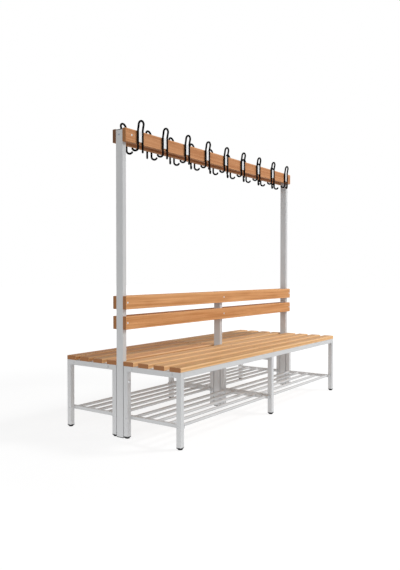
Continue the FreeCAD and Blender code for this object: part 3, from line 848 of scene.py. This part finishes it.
@dataclass
class Board:
    """One planed board along X, with rounded long edges, eased ends and its own grain.

    Attributes:
        name: The piece's name.
        node: The CAD node that it stands for.
        low: Its lowest corner.
        high: Its highest corner.
        tint: How much darker it is than the rest.
        spread: How far chance may move its tint.
        rounding: The radius of the long edges.
        easing: The radius of the end edges.
        shoulder: How far the painted edge highlight reaches past a rounded edge.
        steps: Facets in a rounded edge.
        crease: The angle in degrees from which an edge stays sharp.
        start: How far along the tree a board may begin.
        sideways: How far to a side of the heart it may lie.
        from_heart: The least and the most distance from the heart.
        end_facing: The least X of an end face's normal.
    """

    name: str
    node: str
    low: Vector
    high: Vector
    tint: float
    spread: float
    rounding: float = 0.004
    easing: float = 0.0012
    shoulder: float = 0.005
    steps: int = 6
    crease: float = 40.0
    start: float = 40.0
    sideways: float = 0.05
    from_heart: Span = (0.05, 0.13)
    end_facing: float = 0.7

    def outline(self, inset: float) -> list[tuple[float, float, float]]:
        """The section in Y and Z, drawn in from its full size.

        Args:
            inset: How far the section is drawn in.

        Returns:
            The section's points in order, each with its Y, Z and share of the painted edge highlight.
        """
        radius = self.rounding
        centre_y = (self.low.y + self.high.y) / 2
        centre_z = (self.low.z + self.high.z) / 2
        half_y = (self.high.y - self.low.y) / 2
        half_z = (self.high.z - self.low.z) / 2
        # The rounded edges get the painted edge highlight along their whole length; the flat faces next to
        # them get it only at the eased ends.
        flat_highlight_weight = 1.0 if inset > 0 else 0.0
        runs = [(0, -self.shoulder, flat_highlight_weight)]
        runs += [(step, 0.0, 1.0) for step in range(self.steps + 1)]
        runs += [(self.steps, self.shoulder, flat_highlight_weight)]
        points = []
        for quarter, (side_y, side_z) in enumerate(((1, 1), (-1, 1), (-1, -1), (1, -1))):
            for step, onward, highlight_weight in runs:
                angle = math.pi / 2 * (quarter + step / self.steps)
                out_y, out_z = math.cos(angle), math.sin(angle)
                y = side_y * (half_y - radius) + (radius - inset) * out_y - onward * out_z
                z = side_z * (half_z - radius) + (radius - inset) * out_z + onward * out_y
                points.append((centre_y + y, centre_z + z, highlight_weight))
        return points

    def stations(self) -> Iterator[tuple[float, float]]:
        """Step along the eased low end, from the end face inward.

        Yields:
            Each place along X, with how far the section is drawn in there.
        """
        for step in reversed(range(self.steps + 1)):
            angle = math.pi / 2 * step / self.steps
            yield self.low.x + self.easing * (1 - math.sin(angle)), self.easing * (1 - math.cos(angle))

    def rings(self) -> list[list[tuple[Vector, float]]]:
        """Draw the sections from one end to the other.

        Returns:
            The sections, each a list of points with their share of the painted edge highlight.
        """
        places = list(self.stations())
        places += [(self.low.x + self.high.x - x, inset) for x, inset in reversed(places)]
        return [[(Vector((x, y, z)), highlight_weight) for y, z, highlight_weight in self.outline(inset)] for x, inset in places]

    def mesh(self, material: Material) -> Mesh:
        """Make the board's mesh with its grain written on it.

        Args:
            material: The board's finish.

        Returns:
            The mesh.
        """
        work = bmesh.new()
        # Each point carries its share of the painted edge highlight.
        highlit_edge = work.verts.layers.float.new("highlit_edge")
        loops = []
        for ring in self.rings():
            loop = []
            for point, highlight_weight in ring:
                vertex = work.verts.new(point)
                vertex[highlit_edge] = highlight_weight
                loop.append(vertex)
            loops.append(loop)
        bridge(work, loops, closed=False)
        mesh = smooth_mesh(self.name, work, material)
        mesh.set_sharp_from_angle(angle=math.radians(self.crease))
        self.write_grain(mesh)
        return mesh

    def write_grain(self, mesh: Mesh) -> None:
        """Write where each point lies in the tree the board was cut from.

        Args:
            mesh: The board's mesh.
        """
        chance = random.Random(self.name)
        along = chance.uniform(0.0, self.start)
        across = chance.uniform(-self.sideways, self.sideways)
        through = chance.choice((-1, 1)) * chance.uniform(*self.from_heart)
        tint = self.tint + chance.uniform(-self.spread, self.spread)
        lies_flat = self.high.y - self.low.y > self.high.z - self.low.z
        middle = (self.low + self.high) / 2
        places = []
        for vertex in mesh.vertices:
            offset = vertex.co - middle
            sideways, depth = (offset.y, offset.z) if lies_flat else (offset.z, offset.y)
            places.extend((offset.x + along, sideways + across, depth + through))
        mesh.attributes.new("grain", "FLOAT_VECTOR", "POINT").data.foreach_set("vector", places)
        tints = [tint] * len(mesh.vertices)
        mesh.attributes.new("tint", "FLOAT", "POINT").data.foreach_set("value", tints)
        ends = []
        for face in mesh.polygons:
            ends.extend([float(abs(face.normal.x) > self.end_facing)] * face.loop_total)
        mesh.attributes.new("end_grain", "FLOAT", "CORNER").data.foreach_set("value", ends)

    def build(self, material: Material) -> Object:
        """Make the board and put it in the node's place.

        Args:
            material: The board's finish.

        Returns:
            The new piece.
        """
        piece = add_piece(self.name, self.mesh(material), self.node)
        flatten = piece.modifiers.new("flat_faces", "WEIGHTED_NORMAL")
        flatten.keep_sharp = True
        return piece


UPRIGHT_TINTS = {
    "backrest_slat_front_upper": -0.14,
    "backrest_slat_front_lower": 0.12,
    "coat_board_front": 0.28,
}
# The back-left seat boards are darkened here as painted shade from the backrests; the front-right ones are a
# little paler.
SEAT_TINTS_AND_SHADE = {
    (Side.FRONT, "right"): (-0.04, -0.04, -0.04, -0.04),
    (Side.BACK, "left"): (0.5, 0.42, 0.1, 0.3),
}
PLAIN_TINTS = (0.0, 0.0, 0.0, 0.0)


@dataclass
class Timber:
    """All the beech: seat slats in two lengths, backrest slats and hook boards.

    Attributes:
        rows: Seat slats on a side.
        joint_gap: The gap between the two lengths of a seat row.
        seat_spread: How far chance may move a seat board's tint.
        shaded_tint: The tint from which a seat board takes the darker copy of the seat beech, as painted
            shade.
        upright_spread: How far chance may move an upright board's tint.
    """

    rows: int = 4
    joint_gap: float = 0.0015
    seat_spread: float = 0.07
    shaded_tint: float = 0.3
    upright_spread: float = 0.02

    def seat(self, side: Side) -> Iterator[Board]:
        """Cut the seat boards of one side, two lengths to a row.

        Args:
            side: The side of the bench.

        Yields:
            The boards.
        """
        leg_low, leg_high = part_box(f"leg_frame_{side.value}_centre")
        joint = leg_high.x if side is Side.FRONT else leg_low.x
        for row in range(1, self.rows + 1):
            node = f"seat_slat_{side.value}_{row}"
            low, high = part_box(node)
            left_end = Vector((joint - self.joint_gap / 2, high.y, high.z))
            right_start = Vector((joint + self.joint_gap / 2, low.y, low.z))
            for half, start, end in (("left", low, left_end), ("right", right_start, high)):
                tint = SEAT_TINTS_AND_SHADE.get((side, half), PLAIN_TINTS)[row - 1]
                yield Board(f"{node}_{half}", node, start, end, tint, self.seat_spread)

    def uprights(self, side: Side) -> Iterator[Board]:
        """Cut the backrest slats and the hook board of one side.

        Args:
            side: The side of the bench.

        Yields:
            The boards.
        """
        for part in ("backrest_slat_{}_upper", "backrest_slat_{}_lower", "coat_board_{}"):
            node = part.format(side.value)
            low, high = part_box(node)
            yield Board(f"{node}_beech", node, low, high, UPRIGHT_TINTS.get(node, 0.0), self.upright_spread)

    def build(self) -> None:
        """Make every board."""
        seat = SEAT_BEECH.material()
        shaded_seat = SHADED_SEAT_BEECH.material()
        backrest = BACKREST_BEECH.material()
        hook_boards = {
            "coat_board_front": HOOK_BOARD_BEECH.material(),
            "coat_board_back": BACK_BOARD_SHADED_END_BEECH.material(),
        }
        for side in Side:
            for board in self.seat(side):
                # Boards darkened past the threshold take the darker seat beech, as painted shade.
                board.build(shaded_seat if board.tint >= self.shaded_tint else seat)
            for board in self.uprights(side):
                board.build(hook_boards.get(board.node, backrest))


@dataclass
class Metalwork:
    """The CAD nodes that show as they are, dressed by their slots."""

    def build(self) -> dict[Slot, Material]:
        """Give every CAD node its finish.

        Returns:
            The materials by slot.
        """
        materials = {slot: finish.material() for slot, finish in CAD_FINISHES.items()}
        special = {name: finish.material() for name, finish in NODE_FINISHES.items()}
        for row in frame["record"]["subparts"]:
            slot = Slot(row["material_slot"])
            if slot not in materials:
                continue
            material = special.get(row["node"], materials[slot])
            node = frame["nodes"][row["node"]]
            node.data.materials.clear()
            node.data.materials.append(material)
            log.info("%s: %s", row["node"], material.name)
        return materials


@dataclass
class WeldSeams:
    """The painted weld beads of one side's leg frames and shoe racks.

    Attributes:
        side: The side of the bench.
        leg_tube: The side of a leg's section.
        centre_rail: The height of the centre frame's seat rail.
        rack_tube: The side of a rack rail's section.
        bar_radius: The radius of a rack bar.
        bars: Bars in a rack.
        bead: The radius of a straight bead.
        ring: The radius of the bead round a bar's end.
        setback: How far a straight bead stops short of the tube's edge.
        ripple: The length of one ripple of the weld.
        swell: How much a ripple swells the bead.
        steps: Rings of points in one ripple.
        corners: Corners in a bead's section.
        work: The mesh in the making.
    """

    side: Side
    leg_tube: float = 0.030
    centre_rail: float = 0.050
    rack_tube: float = 0.020
    bar_radius: float = 0.009
    bars: int = 5
    bead: float = 0.0022
    ring: float = 0.0014
    setback: float = 0.003
    ripple: float = 0.0032
    swell: float = 0.22
    steps: int = 4
    corners: int = 8
    work: bmesh.types.BMesh = field(init=False)

    def sweep(self, path: Sequence[Vector], across: Vector, radius: float, closed: bool) -> None:
        """Sweep a rippled bead along a path.

        Args:
            path: The points of the bead's middle, a few to each ripple.
            across: A direction square to the whole path.
            radius: The bead's radius between ripples.
            closed: Whether the path runs back to its start.
        """
        count = len(path)
        loops = []
        for index, point in enumerate(path):
            before = path[index - 1] if closed or index else point
            after = path[(index + 1) % count] if closed or index < count - 1 else point
            outward = (after - before).normalized().cross(across)
            size = radius * (1 + self.swell * abs(math.sin(math.pi * index / self.steps)))
            loop = []
            for corner in range(self.corners):
                angle = math.tau * corner / self.corners
                offset = across * math.cos(angle) + outward * math.sin(angle)
                loop.append(self.work.verts.new(point + offset * size))
            loops.append(loop)
        bridge(self.work, loops, closed)

    def line(self, start: Vector, end: Vector) -> None:
        """Lay a straight bead between two corners of a joint, short of both.

        Args:
            start: The joint's first corner.
            end: Its other corner.
        """
        run = (end - start).normalized()
        start = start + run * self.setback
        length = (end - start).length - self.setback
        count = self.steps * round(length / self.ripple)
        path = [start + run * (length * step / count) for step in range(count + 1)]
        self.sweep(path, UP, self.bead, closed=False)

    def circle(self, centre: Vector) -> None:
        """Lay a bead round a bar that ends at a point.

        Args:
            centre: The middle of the bar's end.
        """
        count = self.steps * round(math.tau * self.bar_radius / self.ripple)
        path = []
        for step in range(count):
            angle = math.tau * step / count
            path.append(centre + Vector((0.0, math.cos(angle), math.sin(angle))) * self.bar_radius)
        self.sweep(path, ALONG, self.ring, closed=True)

    def weld_frames(self) -> None:
        """Weld each seat rail under its two joints with the legs."""
        for place in ("left", "centre", "right"):
            low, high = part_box(f"leg_frame_{self.side.value}_{place}")
            height = high.z - (self.centre_rail if place == "centre" else self.leg_tube)
            for y in (low.y + self.leg_tube, high.y - self.leg_tube):
                self.line(Vector((low.x, y, height)), Vector((high.x, y, height)))

    def weld_long_rails(self) -> None:
        """Weld the long rails under their joints with the legs, but not where the halves bolt together."""
        for module, first_half in (("left", Side.FRONT), ("right", Side.BACK)):
            low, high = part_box(f"seat_rails_{self.side.value}_{module}")
            outer, inner = (low.x, high.x) if module == "left" else (high.x, low.x)
            ends = (outer, inner) if self.side is first_half else (outer,)
            for x in ends:
                for y in (low.y, high.y - self.leg_tube):
                    self.line(Vector((x, y, low.z)), Vector((x, y + self.leg_tube, low.z)))

    def weld_racks(self) -> None:
        """Weld every rack bar all round at both ends."""
        legs_low, legs_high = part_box(f"leg_frame_{self.side.value}_left")
        first = legs_low.y + self.leg_tube + self.bar_radius
        last = legs_high.y - self.leg_tube - self.bar_radius
        for module in ("left", "right"):
            low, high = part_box(f"shoe_rack_{self.side.value}_{module}")
            height = (low.z + high.z) / 2
            for bar in range(self.bars):
                y = first + (last - first) * bar / (self.bars - 1)
                for x in (low.x + self.rack_tube, high.x - self.rack_tube):
                    self.circle(Vector((x, y, height)))

    def build(self, material: Material) -> Object:
        """Make all the beads of the side as one piece.

        Args:
            material: The paint over the welds.

        Returns:
            The new piece.
        """
        self.work = bmesh.new()
        self.weld_frames()
        self.weld_long_rails()
        self.weld_racks()
        name = f"weld_seams_{self.side.value}"
        return add_piece(name, smooth_mesh(name, self.work, material))


@dataclass(frozen=True)
class Lamp:
    """A square soft lamp, seen by neither the camera nor reflections.

    Attributes:
        name: Its name.
        place: Where it hangs.
        power: Its power in watts.
        size: The length of its side.
    """

    name: str
    place: Triple
    power: float
    size: float

    def build(self, aim: Triple) -> None:
        """Hang the lamp.

        Args:
            aim: The point that it faces.
        """
        lamp = bpy.data.lights.new(self.name, "AREA")
        lamp.energy = self.power
        lamp.size = self.size
        holder = add_object(self.name, lamp)
        holder.location = self.place
        holder.rotation_euler = (Vector(aim) - Vector(self.place)).to_track_quat("-Z", "Y").to_euler()
        holder.visible_glossy = False
        holder.visible_camera = False


@dataclass
class Studio:
    """The floor, the lamps, the surrounding light and the camera.

    Attributes:
        film: The long side of the camera's film, in millimetres.
        lens: The camera's lens, in millimetres.
        far: How far the camera sees.
        eye: The camera's place.
        turn: The camera's turn about the upright axis, in degrees.
        tilt: The camera's tilt above straight down, in degrees.
        floor_size: The floor's side.
        horizon: The surrounding light's strength level with the floor.
        zenith: Its strength overhead.
        paper: The floor's grey for the light that it throws back.
        floor_white: What lifts the floor to white where it is seen, near the bench.
        white_reach: How far from the middle the lift reaches pure white.
        low_fill: The strength of the light that skims off the floor.
        fill_reach: Where the skimming light starts to fade, to end at twice that.
        lamps: The key lamp right of the front, and the fill lamp off the left end.
        aim: The point that both lamps face.
    """

    film: float = 36.0
    lens: float = 37.487
    far: float = 200.0
    eye: Triple = (-3.461, -2.3215, 0.934)
    turn: float = -54.40
    tilt: float = 88.846
    floor_size: float = 60.0
    horizon: float = 1.15
    zenith: float = 0.05
    paper: float = 0.25
    floor_white: float = 0.82
    white_reach: float = 6.0
    low_fill: float = 1.35
    fill_reach: float = 1.8
    lamps: tuple[Lamp, ...] = (
        Lamp("key_lamp", (3.7, -4.9, 5.4), power=322.0, size=1.7),
        Lamp("fill_lamp", (-5.0, -0.6, 1.8), power=26.0, size=2.5),
    )
    aim: Triple = (0.0, 0.0, 0.8)

    def strength(self, sheet: NodeSheet, shown: Value, thrown: Socket) -> Socket:
        """Give a light one strength where it is seen and another for what it throws on the bench.

        Args:
            sheet: The nodes of the light's material or world.
            shown: The strength for the camera, reflections and glass.
            thrown: The strength for all other rays.

        Returns:
            The strength's socket.
        """
        rays = sheet.add("ShaderNodeLightPath").outputs
        seen = rays["Is Camera Ray"]
        for ray in ("Is Glossy Ray", "Is Transmission Ray"):
            seen = sheet.math("ADD", seen, rays[ray], clamp=True)
        unseen = sheet.math("SUBTRACT", 1.0, seen)
        return sheet.math("ADD", sheet.math("MULTIPLY", seen, shown), sheet.math("MULTIPLY", thrown, unseen))

    def floor_material(self) -> Material:
        """Make a white floor that still takes a soft shadow.

        Returns:
            The material.
        """
        material = bpy.data.materials.new("studio_white")
        material.use_nodes = True
        nodes = material.node_tree.nodes
        nodes.remove(nodes["Principled BSDF"])
        sheet = NodeSheet(material.node_tree)
        paper = sheet.add("ShaderNodeBsdfDiffuse")
        sheet.fill(paper, Color=opaque((self.paper, self.paper, self.paper)))
        length = sheet.add("ShaderNodeVectorMath", operation="LENGTH")
        sheet.join(length, sheet.place())
        distance = length.outputs["Value"]
        pool = sheet.remap(distance, (self.fill_reach, 2 * self.fill_reach), (self.low_fill, 0.0))
        skim = sheet.math("MULTIPLY", pool, sheet.add("ShaderNodeLayerWeight").outputs["Facing"])
        lift = sheet.remap(distance, (self.fill_reach, self.white_reach), (self.floor_white, 1.0))
        glow = sheet.add("ShaderNodeEmission")
        sheet.fill(glow, Strength=self.strength(sheet, lift, skim))
        both = sheet.join(sheet.add("ShaderNodeAddShader"), paper.outputs[0], glow.outputs[0])
        sheet.fill(nodes["Material Output"], Surface=both)
        return material

    def build_floor(self) -> None:
        """Lay the floor."""
        half = self.floor_size / 2
        mesh = bpy.data.meshes.new("studio_floor")
        corners = [(-half, -half, 0), (half, -half, 0), (half, half, 0), (-half, half, 0)]
        mesh.from_pydata(corners, [], [(0, 1, 2, 3)])
        mesh.materials.append(self.floor_material())
        floor = add_object("studio_floor", mesh)

    def build_sky(self) -> None:
        """Surround the bench with white light that falls off overhead, on a white background."""
        world = bpy.data.worlds.new("studio_sky")
        world.use_nodes = True
        bpy.context.scene.world = world
        sheet = NodeSheet(world.node_tree)
        light = sheet.remap(sheet.height(sheet.place("Generated")), UNIT_SPAN, (self.horizon, self.zenith))
        strength = self.strength(sheet, 1.0, light)
        sheet.fill(world.node_tree.nodes["Background"], Color=opaque((1.0, 1.0, 1.0)), Strength=strength)

    def build_camera(self) -> None:
        """Stand the camera where the photograph was taken from."""
        camera = bpy.data.cameras.new("photo_camera")
        camera.sensor_width = self.film
        camera.lens = self.lens
        camera.clip_end = self.far
        holder = add_object("photo_camera", camera)
        holder.location = self.eye
        holder.rotation_euler = (math.radians(self.tilt), 0.0, math.radians(self.turn))
        bpy.context.scene.camera = holder

    def build(self) -> None:
        """Set the whole studio up."""
        bpy.context.scene.view_settings.view_transform = "Standard"
        self.build_floor()
        self.build_sky()
        for lamp in self.lamps:
            lamp.build(self.aim)
        self.build_camera()


def main() -> None:
    """Dress the bench and set the studio up."""
    logging.basicConfig(level=logging.INFO, format="%(name)s %(message)s")
    for effect in EFFECTS:
        effect.build()
    materials = Metalwork().build()
    Timber().build()
    for side in Side:
        WeldSeams(side).build(materials[Slot.STEEL])
    Studio().build()


if __name__ == "__main__":
    main()
